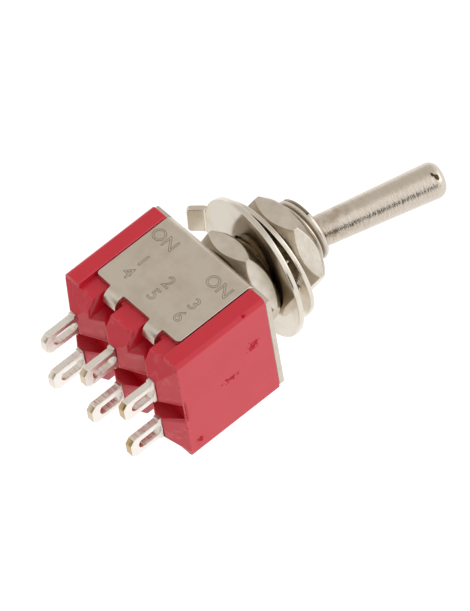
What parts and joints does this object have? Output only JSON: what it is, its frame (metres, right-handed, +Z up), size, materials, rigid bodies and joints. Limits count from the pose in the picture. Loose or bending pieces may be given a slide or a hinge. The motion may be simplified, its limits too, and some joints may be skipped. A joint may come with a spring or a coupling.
{
  "type": "panel toggle switch",
  "caption": "Miniature panel toggle switch: red moulded case in a folded nickel bracket, threaded bushing with hex nuts and washers, tipping bat lever and slotted solder lugs.",
  "frame": {"origin": "on the bushing's axis at the top face of the bracket plate", "axes": "+Z runs up the bushing to the lever, X is the way the lever tips (it rests tipped to +X), and Y runs from the front pole to the rear pole"},
  "size_m": [0.0141, 0.0124, 0.0337],
  "materials": {
    "case_plastic": "red moulded phenolic, satin",
    "bracket_nickel": "nickel-plated steel sheet, satin",
    "turned_nickel": "nickel-plated turned metal",
    "stamped_nickel": "nickel-plated stamping",
    "lug_silver": "silver-plated brass stamping",
    "contact_alloy": "bent contact strip",
    "nylon": "natural nylon",
    "spring_wire": "bright spring wire"
  },
  "bodies": {
    "body": {"case": "case_plastic", "bracket": "bracket_nickel", "bushing": "turned_nickel", "rear_nut": "turned_nickel", "locating_ring": "stamped_nickel", "lock_washer": "stamped_nickel", "front_nut": "turned_nickel", "common_terminal_front": "lug_silver", "terminal_front_left": "lug_silver", "terminal_front_right": "lug_silver", "common_terminal_rear": "lug_silver", "terminal_rear_left": "lug_silver", "terminal_rear_right": "lug_silver"},
    "lever": {"lever": "turned_nickel", "actuator_yoke": "nylon", "plunger_spring_front": "spring_wire", "plunger_spring_rear": "spring_wire"},
    "plunger_front": {"plunger_front": "nylon"},
    "plunger_rear": {"plunger_rear": "nylon"},
    "rocker_front": {"rocker_front": "contact_alloy"},
    "rocker_rear": {"rocker_rear": "contact_alloy"}
  },
  "joints": [
    {"name": "lever_hinge", "type": "hinge", "parent": "body", "child": "lever", "pos_m": [0, 0, 0.0055], "axis": [0, 1, 0], "range_deg": [-31.6, 0]},
    {"name": "plunger_front_slide", "type": "slide", "parent": "lever", "child": "plunger_front", "axis": [0.2723, 0, 0.9622], "range_m": [0, 0.0004], "stiffness_N_per_m": 100, "deforming": ["plunger_spring_front"]},
    {"name": "plunger_rear_slide", "type": "slide", "parent": "lever", "child": "plunger_rear", "axis": [0.2723, 0, 0.9622], "range_m": [0, 0.0004], "stiffness_N_per_m": 100, "deforming": ["plunger_spring_rear"]},
    {"name": "rocker_front_hinge", "type": "hinge", "parent": "body", "child": "rocker_front", "pos_m": [0, -0.00237, -0.00659], "axis": [0, 1, 0], "range_deg": [0, 12]},
    {"name": "rocker_rear_hinge", "type": "hinge", "parent": "body", "child": "rocker_rear", "pos_m": [0, 0.00237, -0.00659], "axis": [0, 1, 0], "range_deg": [0, 12]}
  ],
  "couplings": [
    {"joint": "rocker_front_hinge", "follows": "lever_hinge", "ratio": -0.37975},
    {"joint": "rocker_rear_hinge", "follows": "lever_hinge", "ratio": -0.37975}
  ]
}
